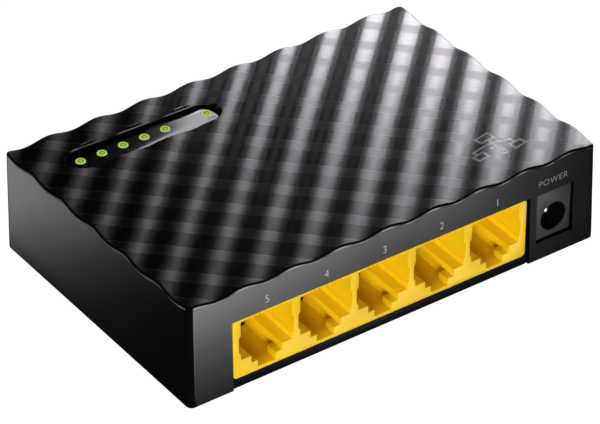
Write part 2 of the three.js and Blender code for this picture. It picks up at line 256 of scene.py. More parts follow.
caseFinish = {
    "color": (0.0010, 0.0010, 0.0012),
    # lighter colour for the creases between rows: a painted highlight of light caught by their small ridges
    "creaseHighlightColor": (0.035, 0.034, 0.037),
    "longRoughness": 0.24,
    "shortRoughness": 0.32,
    "roughnessGrain": 0.08,
    "hazeWeight": 0.005,        # a broad dull sheen over the sharper one
    "hazeRoughness": 0.9,
    "wallRoughness": (0.165, 0.195),
    "waveTurn": -math.pi / 4,
    "rowLength": 8.056 * mm,
    "longRow": 0.627,           # share of each row that its long cells take up
    "rowStart": -5.91 * mm,
    "creaseHighlightWidth": 0.22 * mm,
    "rowSoftness": 0.3 * mm,
    "hatchLength": 260,         # grain per metre along and across the waves
    "hatchAcross": 2600,
    "fineGrain": 5200,
    "weftShare": 0.15,
    "fineShare": 0.3,
    "reliefStrength": 0.035,
    "reliefDepth": 0.004 * mm,
}
wave = {
    "length": 8.05 * mm,
    "height": 0.4 * mm,
    "crest": -2.8 * mm,
    "sway": 1.2,
}


def rowPosition(tree, along, across):
    # 0 to 1 from one row of the weave to the next, the rows swaying a little with the waves
    offset = maths(tree, "ADD", across, wave["crest"])
    phase = maths(tree, "MULTIPLY", offset, 2 * math.pi / wave["length"])
    sway = maths(tree, "MULTIPLY", maths(tree, "COSINE", phase), wave["sway"] * wave["height"])
    shifted = maths(tree, "SUBTRACT", maths(tree, "ADD", along, sway), caseFinish["rowStart"])
    turns = maths(tree, "DIVIDE", shifted, caseFinish["rowLength"])
    return maths(tree, "FRACT", turns)


def wovenTop():
    # black moulding with a fine woven grain: rows of long smooth cells and short duller ones, and a painted
    # highlight of lighter colour along the creases between the rows
    material, tree, shader = startMaterial("wovenTop", caseFinish["color"], 0.3, Specular_IOR_Level=0.5,
                                           Coat_Weight=caseFinish["hazeWeight"],
                                           Coat_Roughness=caseFinish["hazeRoughness"])
    turned = place(tree, turn=caseFinish["waveTurn"])
    split = tree.nodes.new("ShaderNodeSeparateXYZ")
    tree.links.new(turned, split.inputs[0])
    row = rowPosition(tree, split.outputs["X"], split.outputs["Y"])
    fromMiddle = maths(tree, "SUBTRACT", row, caseFinish["longRow"])
    toStart = maths(tree, "MINIMUM", row, maths(tree, "SUBTRACT", 1.0, row))
    nearest = maths(tree, "MINIMUM", toStart, maths(tree, "ABSOLUTE", fromMiddle))
    toCrease = maths(tree, "MULTIPLY", nearest, caseFinish["rowLength"])
    creaseHighlight = spread(tree, toCrease, 1.0, 0.0, 0.0, caseFinish["creaseHighlightWidth"])
    soften = caseFinish["rowSoftness"] / caseFinish["rowLength"]
    fading = spread(tree, fromMiddle, 0.0, 1.0, -soften, soften)
    growing = spread(tree, row, 1.0, 0.0, 0.0, soften)
    isShort = maths(tree, "MAXIMUM", fading, growing)
    length, across = caseFinish["hatchLength"], caseFinish["hatchAcross"]
    hatch = grainOf(tree, place(tree, (length, across, 1), caseFinish["waveTurn"]), 1.0, 2.0)
    weft = grainOf(tree, place(tree, (across, length * 2, 1), caseFinish["waveTurn"]), 1.0, 2.0)
    fine = grainOf(tree, place(tree), caseFinish["fineGrain"], 2.0)
    weftShare = caseFinish["weftShare"]
    weave = maths(tree, "ADD", hatch, maths(tree, "MULTIPLY", weft, weftShare))
    height = maths(tree, "ADD", weave, maths(tree, "MULTIPLY", fine, caseFinish["fineShare"]))
    relief(tree, shader, height, caseFinish["reliefStrength"], caseFinish["reliefDepth"])
    long, short = caseFinish["longRoughness"], caseFinish["shortRoughness"]
    evened = maths(tree, "SUBTRACT", weave, (1 + weftShare) / 2)
    grain = maths(tree, "MULTIPLY", evened, caseFinish["roughnessGrain"])
    rough = maths(tree, "ADD", spread(tree, isShort, long, short, 0.0, 1.0), grain)
    tree.links.new(rough, shader.inputs["Roughness"])
    # the creases take the lighter colour, a painted highlight
    mixed = blendColors(tree, creaseHighlight, caseFinish["color"], caseFinish["creaseHighlightColor"])
    tree.links.new(mixed, shader.inputs["Base Color"])
    return material


def mouldedPlastic(name, color, roughness, grainSize=0.12, depth=0.006, shade=1.25, **sockets):
    # injection-moulded plastic: fine spark grain, faint flow clouding, worn-smooth patches
    material, tree, shader = startMaterial(name, color, roughness[0], **sockets)
    coords = place(tree)
    fine = grainOf(tree, coords, 1 / (grainSize * mm), 3.0)
    broad = grainOf(tree, coords, 45, 3.0)
    relief(tree, shader, fine, 0.4, depth * mm)
    tree.links.new(spread(tree, broad, *roughness), shader.inputs["Roughness"])
    lighter = tuple(min(1.0, c * shade) for c in color)
    tree.links.new(blendColors(tree, spread(tree, broad, 0, 1), color, lighter), shader.inputs["Base Color"])
    return material


def platedMetal(name, color, roughness, scratch=(400, 400, 4000)):
    # plated or stamped metal with drawn scratches and small changes of tone
    material, tree, shader = startMaterial(name, color, roughness[0], 1.0)
    drawn = grainOf(tree, place(tree, scratch), 1.0, 3.0)
    broad = grainOf(tree, place(tree), 300, 2.0)
    relief(tree, shader, drawn, 0.25, 0.004 * mm)
    tree.links.new(spread(tree, drawn, *roughness), shader.inputs["Roughness"])
    darker = tuple(c * 0.8 for c in color)
    tree.links.new(blendColors(tree, spread(tree, broad, 0, 1), color, darker), shader.inputs["Base Color"])
    return material


def glowing(name, color, glow, strength):
    # the frosted end of a light pipe
    material, tree, shader = startMaterial(name, color, 0.25, Emission_Strength=strength)
    frost = grainOf(tree, place(tree), 3000, 2.0)
    relief(tree, shader, frost, 0.2, 0.005 * mm)
    tree.links.new(blendColors(tree, spread(tree, frost, 0, 1), glow, tuple(c * 0.82 for c in glow)),
                   shader.inputs["Emission Color"])
    return material


def solderMask():
    # green solder mask over copper tracks on a fine grid
    material, tree, shader = startMaterial("solderMask", (0.01, 0.09, 0.03), 0.3, Coat_Weight=0.3)
    tracks = tree.nodes.new("ShaderNodeTexBrick")
    tracks.inputs["Scale"].default_value = 160
    tracks.inputs["Mortar Size"].default_value = 0.03
    tracks.inputs["Color1"].default_value = (0, 0, 0, 1)
    tracks.inputs["Color2"].default_value = (0.3, 0.3, 0.3, 1)
    tracks.inputs["Mortar"].default_value = (1, 1, 1, 1)
    tree.links.new(place(tree), tracks.inputs["Vector"])
    tree.links.new(blendColors(tree, tracks.outputs["Color"], (0.008, 0.07, 0.025), (0.02, 0.16, 0.06)),
                   shader.inputs["Base Color"])
    relief(tree, shader, tracks.outputs["Color"], 0.4, 0.02 * mm)
    return material


topBlack = wovenTop()
wallBlack = mouldedPlastic("wallBlack", (0.0018, 0.0018, 0.002), caseFinish["wallRoughness"], 0.1, 0.0008)
baseBlack = mouldedPlastic("baseBlack", (0.0022, 0.0022, 0.0024), (0.4, 0.5), 0.15, 0.01,
                           Specular_IOR_Level=0.04)
jackYellow = mouldedPlastic("jackYellow", (0.88, 0.55, 0.006), (0.44, 0.5), 0.1, 0.003, 1.04,
                            Specular_IOR_Level=0.22, Subsurface_Weight=0.08, Subsurface_Scale=0.0008)
inletGrey = mouldedPlastic("inletGrey", (0.019, 0.019, 0.022), (0.4, 0.5), 0.12, 0.006,
                           Specular_IOR_Level=0.15)
# the bore gets a far darker colour than the face of the same housing: painted shade inside the bore
boreShadeBlack = mouldedPlastic("boreShadeBlack", (0.002, 0.002, 0.0022), (0.45, 0.55), 0.12, 0.004,
                           Specular_IOR_Level=0.15)
carrierBlack = mouldedPlastic("carrierBlack", (0.012, 0.012, 0.013), (0.5, 0.6))
chipBlack = mouldedPlastic("chipBlack", (0.013, 0.013, 0.014), (0.5, 0.62), 0.08, 0.008)
footRubber = mouldedPlastic("footRubber", (0.012, 0.012, 0.012), (0.75, 0.9), 0.2, 0.02)
legendGloss = mouldedPlastic("legendGloss", (0.0008, 0.0008, 0.001), (0.14, 0.17), 0.3, 0.0005)
labelFilm = mouldedPlastic("labelFilm", (0.55, 0.56, 0.58), (0.35, 0.45), 0.1, 0.004, 1.08)
inkWhite = mouldedPlastic("inkWhite", (0.5, 0.5, 0.5), (0.4, 0.5), 0.08, 0.003, 1.1)
inkGrey = mouldedPlastic("inkGrey", (0.14, 0.14, 0.14), (0.4, 0.5), 0.08, 0.003, 1.1)
inkSilver = mouldedPlastic("inkSilver", (0.5, 0.5, 0.51), (0.3, 0.4), 0.08, 0.003, 1.1)
sleeveBlue = mouldedPlastic("sleeveBlue", (0.012, 0.02, 0.06), (0.3, 0.4), 0.3, 0.004)
ferriteGrey = mouldedPlastic("ferriteGrey", (0.05, 0.05, 0.052), (0.6, 0.75), 0.1, 0.02)
ledBody = mouldedPlastic("ledBody", (0.75, 0.74, 0.68), (0.3, 0.4))
wireGold = platedMetal("wireGold", (0.83, 0.6, 0.22), (0.22, 0.34))
brightNickel = platedMetal("brightNickel", (0.66, 0.65, 0.63), (0.26, 0.36))
screwZinc = platedMetal("screwZinc", (0.3, 0.3, 0.31), (0.3, 0.42), (900, 900, 900))
pipeRim = glowing("pipeRim", (0.08, 0.11, 0.03), (0.42, 0.60, 0.12), 1.0)
pipeCore = glowing("pipeCore", (0.02, 0.05, 0.002), (0.15, 0.29, 0.008), 1.0)
# a brighter glow at the middle of the dish: a painted highlight
pipeHighlightSpot = glowing("pipeHighlightSpot", (0.04, 0.07, 0.01), (0.33, 0.55, 0.06), 1.0)
boardGreen = solderMask()
print("materials ready")


# the case top

shellLow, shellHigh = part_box("top_shell")

shell = {
    "halfWidth": shellHigh.x,
    "halfDepth": shellHigh.y,
    "bottom": shellLow.z,
    "draft": 0.45 * mm,
    "wall": 1.8 * mm,
    "ceiling": 21.7 * mm,
    "corner": 1.3 * mm,
    "lip": 0.5 * mm,          # radius of the rolled top edge
    "lipSweep": 78,           # degrees of that roll
    "lipSteps": 6,
    "step": 0.4 * mm,         # spacing of the fine grid
    "edgeZone": 1.2 * mm,
    "edgeCells": 9,
    "rowRise": -0.01 * mm,
    "foot": 0.35 * mm,        # rounding of the walls' lower edge
    "gap": 0.25 * mm,         # clearance around the jacks and the inlet
    "notchLeft": 0.44 * mm,
    "notchRight": 0.66 * mm,
    "lightHole": 1.15 * mm,
}
meanTop = shellHigh.z - wave["height"]


def topHeight(x, y):
    # waves with crests from front left to back right, crossed by rows that tilt a little to and fro
    across = (x - y) / math.sqrt(2)
    along = (x + y) / math.sqrt(2)
    lift = wave["height"] * math.cos(2 * math.pi * (across - wave["crest"]) / wave["length"])
    row = ((along + wave["sway"] * lift - caseFinish["rowStart"]) / caseFinish["rowLength"]) % 1
    longRow = caseFinish["longRow"]
    rise = row / longRow if row < longRow else (1 - row) / (1 - longRow)
    return meanTop + lift + shell["rowRise"] * (rise - 0.5)


def lean(z):
    return shell["draft"] * (z - shell["bottom"]) / (meanTop - shell["bottom"])


def outlinePoint(x, y, growth, z):
    # the point on the rounded outline, leaning with the walls, that lies outward of x, y
    width = shell["halfWidth"] - lean(z) - shell["corner"]
    depth = shell["halfDepth"] - lean(z) - shell["corner"]
    inX = max(-width, min(width, x))
    inY = max(-depth, min(depth, y))
    out = Vector((x - inX, y - inY, 0)).normalized()
    point = Vector((inX, inY, 0)) + out * (shell["corner"] + growth)
    point.z = z
    return point


def edgeSpaced(index, count, half):
    # grid lines that close up in the zone near each edge
    cells = shell["edgeCells"]
    zone = shell["edgeZone"]
    if index < cells:
        return -half + zone * index / cells
    if index > count - cells:
        return half - zone * (count - index) / cells
    return -half + zone + (2 * half - 2 * zone) * (index - cells) / (count - 2 * cells)


def extrudeRing(bm, edges, settle):
    # grows the open edge by one ring and puts each new vertex where settle says
    known = {v for e in edges for v in e.verts}
    grown = bmesh.ops.extrude_edge_only(bm, edges=edges)["geom"]
    ring = [g for g in grown if isinstance(g, bmesh.types.BMVert)]
    for v in ring:
        root = next(e.other_vert(v) for e in v.link_edges if e.other_vert(v) in known)
        v.co = settle(root.co)
    fresh = set(ring)
    return [g for g in grown if isinstance(g, bmesh.types.BMEdge) and fresh.issuperset(g.verts)]


def caseTopSkin():
    bm = bmesh.new()
    halfX = shell["halfWidth"] - lean(meanTop) - shell["lip"]
    halfY = shell["halfDepth"] - lean(meanTop) - shell["lip"]
    corner = shell["corner"] - shell["lip"]
    countX = int((2 * halfX - 2 * shell["edgeZone"]) / shell["step"]) + 2 * shell["edgeCells"]
    countY = int((2 * halfY - 2 * shell["edgeZone"]) / shell["step"]) + 2 * shell["edgeCells"]
    bmesh.ops.create_grid(bm, x_segments=countX, y_segments=countY, size=0.5)
    for v in bm.verts:
        x = edgeSpaced(round((v.co.x + 0.5) * countX), countX, halfX)
        y = edgeSpaced(round((v.co.y + 0.5) * countY), countY, halfY)
        cornerX = (abs(x) - halfX + corner) / corner
        cornerY = (abs(y) - halfY + corner) / corner
        if cornerX > 0 and cornerY > 0:
            shrink = max(cornerX, cornerY) / math.hypot(cornerX, cornerY)
            x = math.copysign(halfX - corner + corner * cornerX * shrink, x)
            y = math.copysign(halfY - corner + corner * cornerY * shrink, y)
        v.co = (x, y, topHeight(x, y))
    top = set(bm.faces)
    edges = [e for e in bm.edges if e.is_boundary]
    lip = shell["lip"]
    sweep = math.radians(shell["lipSweep"])
    for k in range(1, shell["lipSteps"] + 1):
        angle = sweep * k / shell["lipSteps"]
        growth = lip * (math.sin(angle) - 1)
        drop = lip * (1 - math.cos(angle))

        def rollOver(co, growth=growth, drop=drop):
            point = outlinePoint(co.x, co.y, growth, meanTop)
            point.z = topHeight(point.x, point.y) - drop
            return point

        edges = extrudeRing(bm, edges, rollOver)
    rolled = lip * (1 - math.cos(sweep))

    def wallRing(drop, share=1.0):
        # a ring of the wall at a drop below the rolled edge, or at a share of the wall's height
        def settle(co):
            point = outlinePoint(co.x, co.y, 0, meanTop)
            edge = topHeight(point.x, point.y) - rolled
            return outlinePoint(co.x, co.y, 0, shell["bottom"] + (edge - shell["bottom"]) * share - drop)
        return settle

    for drop in (0.02 * mm, 0.12 * mm):
        edges = extrudeRing(bm, edges, wallRing(drop))
    for share in (0.9, 0.75, 0.5, 0.25, 0.08):
        edges = extrudeRing(bm, edges, wallRing(0, share))
    foot = shell["foot"]
    for angle in (20, 45, 70, 90):
        turn = math.radians(angle)
        z = shell["bottom"] + foot * (1 - math.sin(turn))
        inward = -foot * (1 - math.cos(turn))
        edges = extrudeRing(bm, edges, lambda co, z=z, inward=inward: outlinePoint(co.x, co.y, inward, z))
    wall = shell["wall"]
    edges = extrudeRing(bm, edges, lambda co: outlinePoint(co.x, co.y, -wall, shell["bottom"]))
    edges = extrudeRing(bm, edges, lambda co: outlinePoint(co.x, co.y, -wall, shell["ceiling"]))
    bmesh.ops.holes_fill(bm, edges=edges, sides=0)
    for face in bm.faces:
        face.material_index = 0 if face in top else 1
    return toMesh(bm, "topShell")


def shellCutters():
    # the jack notch, the inlet window and the light slot
    bm = bmesh.new()
    blockLow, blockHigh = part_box("port_block")
    inletLow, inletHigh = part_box("inlet_housing")
    front = -shell["halfDepth"]
    gap = shell["gap"]
    notchLow = (blockLow.x - shell["notchLeft"], front - 5 * mm, -5 * mm)
    notchHigh = (blockHigh.x + shell["notchRight"], front + 4 * mm, blockHigh.z + gap)
    addBox(bm, notchLow, notchHigh)
    windowLow = (inletLow.x - gap, front - 5 * mm, inletLow.z - gap)
    windowHigh = (inletHigh.x + gap, front + 4 * mm, inletHigh.z + gap)
    addBox(bm, windowLow, windowHigh)
    stripLow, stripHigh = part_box("legend_strip")
    centre = (stripLow + stripHigh) / 2
    length = stripHigh.x - stripLow.x + 0.5 * mm
    width = stripHigh.y - stripLow.y + 0.5 * mm
    floor = stripLow.z - 0.01 * mm
    levels = [(floor, -0.05 * mm), (floor + 0.5 * mm, 0), (meanTop - 0.25 * mm, 0.04 * mm),
              (meanTop, 0.16 * mm), (meanTop + 0.25 * mm, 0.42 * mm), (meanTop + 2 * mm, 1.2 * mm)]
    addStadium(bm, centre, length, width, levels)
    for face in bm.faces:
        face.material_index = 1
    return toMesh(bm, "shellCutters")


def lightHoles():
    bm = bmesh.new()
    for node in nodes:
        if not node.startswith("light_pipe"):
            continue
        centre = centreOf(node)
        made = bmesh.ops.create_cone(bm, cap_ends=True, segments=32, radius1=shell["lightHole"],
                                     radius2=shell["lightHole"], depth=8 * mm)
        bmesh.ops.translate(bm, vec=(centre.x, centre.y, 22 * mm), verts=made["verts"])
    for face in bm.faces:
        face.material_index = 1
    return toMesh(bm, "lightHoles")


def makeCaseTop():
    mesh = caseTopSkin()
    cutters = shellCutters()
    holes = lightHoles()
    for item in (mesh, cutters, holes):
        for material in (topBlack, wallBlack):
            item.materials.append(material)
    mesh = combine(mesh, cutters)
    mesh = combine(mesh, holes)
    mesh.name = "topShell"
    addPiece("topShell", mesh, [], slot="shell_black", replaces=["top_shell"], smooth=32)
    print("case top:", len(mesh.polygons), "faces")


makeCaseTop()


# the lights

lights = {
    "rimRadius": 1.05 * mm,
    "coreRadius": 0.72 * mm,
    # radius of the painted highlight at the middle of the dish
    "highlightSpotRadius": 0.36 * mm,
    "dish": 0.22 * mm,
    "edge": 0.08 * mm,
    "flangeRadius": 1.6 * mm,
    "flangeHeights": (20.9 * mm, 21.6 * mm),
    "stripGrowth": 0.12 * mm,
}
lightNames = ["5", "4", "3", "2", "1", "power"]


def makeLightPipe(name):
    low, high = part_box("light_pipe_" + name)
    centre = (low + high) / 2
    rim = lights["rimRadius"]
    core = lights["coreRadius"]
    top = high.z
    edge = lights["edge"]
    dish = lights["dish"]
    flange = lights["flangeRadius"]
    flangeLow, flangeHigh = lights["flangeHeights"]
    profile = [(0, low.z), (rim, low.z), (rim, flangeLow), (flange, flangeLow), (flange, flangeHigh),
               (rim, flangeHigh), (rim, top - edge), (rim - edge, top), (core + edge, top),
               (core, top - edge), (core * 0.75, top - dish), (core * 0.4, top - dish * 0.7),
               (0, top - dish * 0.55)]
    mesh = turnedMesh("lightPipe_" + name, profile, (centre.x, centre.y, 0), steps=40)
    for material in (pipeRim, pipeCore, pipeHighlightSpot):
        mesh.materials.append(material)
    for face in mesh.polygons:
        away = (Vector(face.center) - Vector((centre.x, centre.y, face.center.z))).length
        inside = face.center.z > top - 2 * dish and away < core
        # the middle of the dish takes the brighter glow, a painted highlight
        face.material_index = (2 if away < lights["highlightSpotRadius"] else 1) if inside else 0
    addPiece("lightPipe_" + name, mesh, [], slot="pipe_green", replaces=["light_pipe_" + name], smooth=30)


def makeLegendStrip():
    low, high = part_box("legend_strip")
    bm = bmesh.new()
    centre = (low + high) / 2
    growth = lights["stripGrowth"]
    levels = [(low.z, growth), (high.z - 0.08 * mm, growth), (high.z - 0.02 * mm, growth - 0.03 * mm),
              (high.z, growth - 0.1 * mm)]
    addStadium(bm, centre, high.x - low.x, high.y - low.y, levels)
    mesh = combine(toMesh(bm, "legendStrip"), lightHoles())
    mesh.materials.clear()
    mesh.materials.append(legendGloss)
    mesh.name = "legendStrip"
    for face in mesh.polygons:
        face.material_index = 0
    addPiece("legendStrip", mesh, [], slot="legend_black", replaces=["legend_strip"], smooth=30)


for lightName in lightNames:
    makeLightPipe(lightName)
makeLegendStrip()
print("lights ready")


# printed marks

marks = {
    "digitSize": 2.45 * mm,
    "digitSlim": -0.05 * mm,
    "digitHeight": 18.65 * mm,
    "wordSize": 2.1 * mm,
    "wordHeight": 18.75 * mm,
    "wordSlim": -0.03 * mm,
    "wordSpacing": 1.08,
    "wordShift": -0.7 * mm,
    "thickness": 0.02 * mm,
    "stripSize": 0.85 * mm,
    "stripShift": -2.2 * mm,
    "iconCentre": (32.0 * mm, -21.5 * mm),
    "iconStroke": 0.5 * mm,
    "iconBox": 2.9 * mm,
    "iconPitch": 4.7 * mm,
    "iconRise": 2.5 * mm,
}


def lettering(name, text, size, matrix, material, spacing=1.0, slim=0.0):
    curve = bpy.data.curves.new(name, "FONT")
    curve.body = text
    curve.size = size
    curve.align_x = "CENTER"
    curve.space_character = spacing
    curve.extrude = marks["thickness"] / 2
    curve.offset = slim
    words = bpy.data.objects.new(name + "Curve", curve)
    scene.collection.objects.link(words)
    graph = bpy.context.evaluated_depsgraph_get()
    mesh = bpy.data.meshes.new_from_object(words.evaluated_get(graph))
    bpy.data.objects.remove(words)
    mesh.transform(matrix)
    mesh.name = name
    mesh.materials.clear()
    mesh.materials.append(material)
    addPiece(name, mesh, [], slot="led_white", smooth=30)


def frontMatrix(x, z):
    y = -(shell["halfDepth"] - lean(z)) - marks["thickness"] * 0.45
    tilt = math.atan2(shell["draft"], meanTop - shell["bottom"])
    upright = Matrix.Rotation(math.pi / 2 - tilt, 4, "X")
    return Matrix.Translation((x, y, z)) @ upright


def makeMarks():
    for port in range(1, 6):
        x = centreOf("contact_wires_" + str(port)).x
        lettering("portDigit_" + str(port), str(port), marks["digitSize"],
                  frontMatrix(x, marks["digitHeight"]), inkWhite, slim=marks["digitSlim"])
    inletX = centreOf("inlet_housing").x
    wordPlace = frontMatrix(inletX + marks["wordShift"], marks["wordHeight"])
    lettering("powerWord", "POWER", marks["wordSize"], wordPlace, inkGrey,
              marks["wordSpacing"], marks["wordSlim"])
    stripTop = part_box("legend_strip")[1].z
    for name in lightNames:
        centre = centreOf("light_pipe_" + name)
        y = centre.y + marks["stripShift"]
        flat = Matrix.Translation((centre.x, y, stripTop + marks["thickness"] * 0.45))
        text, ink = (name, inkGrey) if name.isdigit() else ("PWR", inkWhite)
        lettering("lightDigit_" + name, text, marks["stripSize"], flat, ink)


def addStroke(bm, x0, x1, y0, y1):
    # one stroke of the printed mark, cut fine enough to follow the waves
    wide = max(1, round((x1 - x0) / (0.3 * mm)))
    deep = max(1, round((y1 - y0) / (0.3 * mm)))
    made = bmesh.ops.create_grid(bm, x_segments=wide, y_segments=deep, size=0.5)
    bmesh.ops.scale(bm, vec=(x1 - x0, y1 - y0, 1), verts=made["verts"])
    bmesh.ops.translate(bm, vec=((x0 + x1) / 2, (y0 + y1) / 2, 0), verts=made["verts"])


def addFrame(bm, x, y, width, height):
    stroke = marks["iconStroke"]
    left, right = x - width / 2, x + width / 2
    low, high = y - height / 2, y + height / 2
    addStroke(bm, left, right, high - stroke, high)
    addStroke(bm, left, right, low, low + stroke)
    addStroke(bm, left, left + stroke, low + stroke, high - stroke)
    addStroke(bm, right - stroke, right, low + stroke, high - stroke)


def makeTreeMark():
    # a plain network tree: one box above three
    bm = bmesh.new()
    x, y = marks["iconCentre"]
    stroke = marks["iconStroke"]
    boxWidth = marks["iconBox"]
    boxHeight = boxWidth * 0.9
    half = stroke / 2
    pitch = marks["iconPitch"]
    rise = marks["iconRise"]
    addFrame(bm, x, y + rise, boxWidth * 1.2, boxHeight)
    for side in (-1, 0, 1):
        stem = x + side * pitch
        addFrame(bm, stem, y - rise, boxWidth, boxHeight)
        addStroke(bm, stem - half, stem + half, y - rise + boxHeight / 2, y + half)
    addStroke(bm, x - pitch - half, x + pitch + half, y - half, y + half)
    addStroke(bm, x - half, x + half, y + half, y + rise - boxHeight / 2)
    for v in bm.verts:
        v.co.z = topHeight(v.co.x, v.co.y) + marks["thickness"]
    bmesh.ops.remove_doubles(bm, verts=bm.verts, dist=1e-7)
    bmesh.ops.solidify(bm, geom=list(bm.faces), thickness=marks["thickness"])
    addPiece("treeMark", toMesh(bm, "treeMark"), [inkSilver], slot="label_silver", smooth=40)


makeMarks()
makeTreeMark()
print("marks ready")


# the jacks

jacks = {
    "bevel": 0.12 * mm,
    "wireRadius": 0.17 * mm,
    "wirePitch": 1.016 * mm,
    "wireCount": 8,
    # each wire's path, millimetres back and up from its front bend
    "slope": [(0.0, 0.0), (0.35, -0.35), (8.4, -3.0), (9.0, -3.08), (9.7, -3.0)],
    "roof": [(0.0, 0.0), (0.1, 0.28), (0.5, 0.4), (11.0, 0.4)],
    "cavityDepth": 12.9 * mm,
    "plateHalf": 3.55 * mm,
    "plateWide": 5.95 * mm,
    "plateThickness": 0.25 * mm,
    "plateGap": 0.02 * mm,
    "plateHeights": (0.85 * mm, 3.95 * mm, 4.05 * mm),    # foot, step and start of the wide part
    "plateTop": 0.9 * mm,
}
jointPlaces = {joint["child"]: Vector(joint["pos_m"]) for joint in frame["joints"]}


def wireMesh(name, place, path):
    # one spring set: round wires side by side along the same path
    curve = bpy.data.curves.new(name, "CURVE")
    curve.dimensions = "3D"
    curve.bevel_depth = jacks["wireRadius"]
    curve.bevel_resolution = 3
    curve.use_fill_caps = True
    for i in range(jacks["wireCount"]):
        offset = jacks["wirePitch"] * (i - (jacks["wireCount"] - 1) / 2)
        spline = curve.splines.new("BEZIER")
        spline.bezier_points.add(len(path) - 1)
        for point, (y, z) in zip(spline.bezier_points, path):
            point.co = place + Vector((offset, y * mm, z * mm))
            point.handle_left_type = "AUTO"
            point.handle_right_type = "AUTO"
        spline.resolution_u = 6
    wires = bpy.data.objects.new(name + "Curve", curve)
    scene.collection.objects.link(wires)
    graph = bpy.context.evaluated_depsgraph_get()
    mesh = bpy.data.meshes.new_from_object(wires.evaluated_get(graph))
    bpy.data.objects.remove(wires)
    mesh.name = name
    mesh.materials.clear()
    return mesh


def addBackPlate(bm, x):
    # the insert's dark face, which closes the back of the opening
    low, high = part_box("port_block")
    back = low.y + jacks["cavityDepth"]
    front = back - jacks["plateThickness"]
    rear = back - jacks["plateGap"]
    foot, step, start = jacks["plateHeights"]
    half, wide = jacks["plateHalf"], jacks["plateWide"]
    addBox(bm, (x - half, front, low.z + foot), (x + half, rear, low.z + step))
    addBox(bm, (x - wide, front, low.z + start), (x + wide, rear, high.z - jacks["plateTop"]))


def makeJacks():
    block = polishedCopy("portBlock", "port_block", jacks["bevel"])
    block.materials.clear()
    addPiece("portBlock", block, [jackYellow], slot="jack_yellow", replaces=["port_block"], smooth=34)
    for port in range(1, 6):
        body = "port_" + str(port) + "_contacts"
        bend = jointPlaces[body]
        springs = wireMesh("contactSprings_" + str(port), bend, jacks["slope"])
        addPiece("contactSprings_" + str(port), springs, [wireGold], body, "contact_gold",
                 ["contact_wires_" + str(port)])
        roots = wireMesh("contactRoots_" + str(port), bend, jacks["roof"])
        addPiece("contactRoots_" + str(port), roots, [wireGold], "housing", "contact_gold")
        carrier = polishedCopy("contactCarrier_" + str(port), "contact_carrier_" + str(port), 0.05 * mm, 1)
        bm = bmesh.new()
        bm.from_mesh(carrier)
        addBackPlate(bm, bend.x)
        bm.to_mesh(carrier)
        bm.free()
        carrier.materials.clear()
        addPiece("contactCarrier_" + str(port), carrier, [carrierBlack], slot="carrier_black",
                 replaces=["contact_carrier_" + str(port)])


makeJacks()
print("jacks ready")


# the power inlet

inlet = {
    "bore": 3.15 * mm,
    "boreDepth": 10 * mm,
    "edge": 0.3 * mm,
    "flare": 0.2 * mm,
    "axisHeight": 10 * mm,
    "pinRadius": 1.05 * mm,
    "pinHole": 1.15 * mm,
    "slotHalf": 1.4 * mm,
}


def makeInlet():
    low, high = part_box("inlet_housing")
    pinLow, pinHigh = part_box("inlet_pin")
    axisX = (pinLow.x + pinHigh.x) / 2
    axisZ = inlet["axisHeight"]
    body = boxMesh("inletHousing", low, high, inlet["edge"])
    bore = inlet["bore"]
    deep = inlet["boreDepth"]
    flare = inlet["flare"]
    hole = inlet["pinHole"]
    out = 2 * mm
    profile = [(0, -out), (bore + flare + out, -out), (bore + flare, 0), (bore, flare),
               (bore, deep), (hole, deep), (hole, 20 * mm), (0, 20 * mm)]
    cutter = turnedMesh("boreCutter", profile, (axisX, low.y, axisZ), "Y", 64)
    mesh = combine(body, cutter)
    half = inlet["slotHalf"]
    slotCut = boxMesh("slotCutter", (axisX - half, low.y + 1.6 * mm, axisZ + 2 * mm),
                      (axisX + half, low.y + 12.6 * mm, axisZ + 5.6 * mm), 0.05 * mm)
    mesh = combine(mesh, slotCut)
    mesh.name = "inletHousing"
    mesh.materials.clear()
    for material in (inletGrey, boreShadeBlack):
        mesh.materials.append(material)
    # faces inside the bore take the darker colour, painted shade
    for face in mesh.polygons:
        away = math.hypot(face.center.x - axisX, face.center.z - axisZ)
        inBore = away < bore + 0.02 * mm and low.y + 0.15 * mm < face.center.y < high.y - 0.5 * mm
        face.material_index = 1 if inBore else 0
    addPiece("inletHousing", mesh, [], slot="inlet_grey", replaces=["inlet_housing"], smooth=28)

    radius = inlet["pinRadius"]
    angles = [math.radians(a) for a in range(0, 91, 15)]
    dome = [(radius * math.sin(a), pinLow.y + radius * (1 - math.cos(a))) for a in angles]
    profile = dome + [(radius, pinHigh.y - 0.1 * mm), (0, pinHigh.y - 0.1 * mm)]
    pin = turnedMesh("inletPin", profile, (axisX, 0, axisZ), "Y", 40)
    tab = boxMesh("pinTab", (axisX - 1.2 * mm, pinHigh.y - 0.6 * mm, axisZ - 1.2 * mm),
                  (axisX + 1.2 * mm, pinHigh.y, pinHigh.z), 0.06 * mm)
    pin = combine(pin, tab, "UNION")
    pin.name = "inletPin"
    pin.materials.clear()
    addPiece("inletPin", pin, [brightNickel], slot="nickel", replaces=["inlet_pin"], smooth=32)
    blade = polishedCopy("inletBlade", "inlet_blade", 0.05 * mm, 2, 20)
    blade.materials.clear()
    addPiece("inletBlade", blade, [brightNickel], "inlet_contact", "nickel", ["inlet_blade"])


makeInlet()
print("inlet ready")


# the underside

